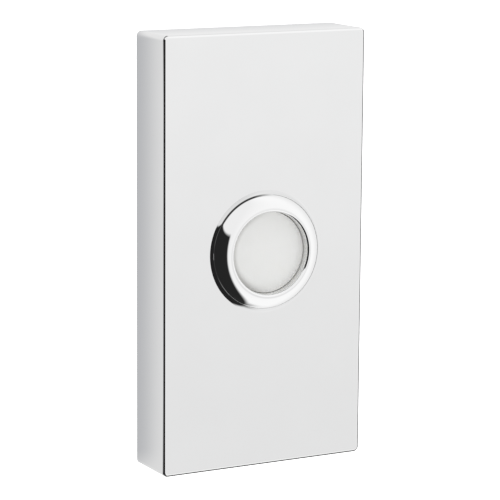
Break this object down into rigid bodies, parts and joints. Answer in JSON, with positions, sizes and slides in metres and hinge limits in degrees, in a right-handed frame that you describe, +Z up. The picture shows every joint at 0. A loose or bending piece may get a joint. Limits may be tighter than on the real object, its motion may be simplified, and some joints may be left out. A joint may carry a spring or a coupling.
{
  "type": "doorbell push button",
  "caption": "Rectangular polished chrome doorbell plate for surface mounting, with a half-round ring round a white spring-return push button, a hook-on wall bracket and a locking screw.",
  "frame": {"origin": "middle of the wall plane, midway between the wall screw holes", "axes": "+Z up along the plate's length, +Y into the wall, -Y out of the front towards the person pressing, +X to the right seen from the front"},
  "size_m": [0.0424, 0.0139, 0.0826],
  "materials": {
    "chrome": "polished chrome plate on die-cast metal",
    "white_cap": "white translucent moulded cap, softly glossy",
    "contact_brass": "plain rolled brass",
    "nickel_brass": "nickel-plated brass",
    "spring_steel": "bright drawn wire",
    "dark_steel": "black oxide",
    "zinc_steel": "zinc plated",
    "insulator": "moulded dark insulating plastic",
    "lamp_glass": "clear glass",
    "tinned_wire": "tinned copper"
  },
  "bodies": {
    "housing": {"cover": "chrome", "bezel": "chrome", "base": "insulator", "fixed_contact_left": "contact_brass", "fixed_contact_right": "contact_brass", "contact_rivet_left": "contact_brass", "contact_rivet_right": "contact_brass", "terminal_screw_left": "nickel_brass", "terminal_screw_right": "nickel_brass", "terminal_washer_left": "nickel_brass", "terminal_washer_right": "nickel_brass", "lamp": "lamp_glass", "lamp_leads": "tinned_wire", "return_spring": "spring_steel", "retaining_ring": "dark_steel", "lock_washer": "zinc_steel", "barrel_nut": "nickel_brass", "mounting_bracket": "zinc_steel", "set_screw": "dark_steel"},
    "cap": {"lens_cap": "white_cap", "contact_bridge": "contact_brass"}
  },
  "joints": [
    {"name": "button_press", "type": "slide", "parent": "housing", "child": "cap", "axis": [0, 1, 0], "range_m": [0, 0.0015], "stiffness_N_per_m": 1200, "springref_m": -0.0008, "deforming": ["return_spring"]}
  ]
}
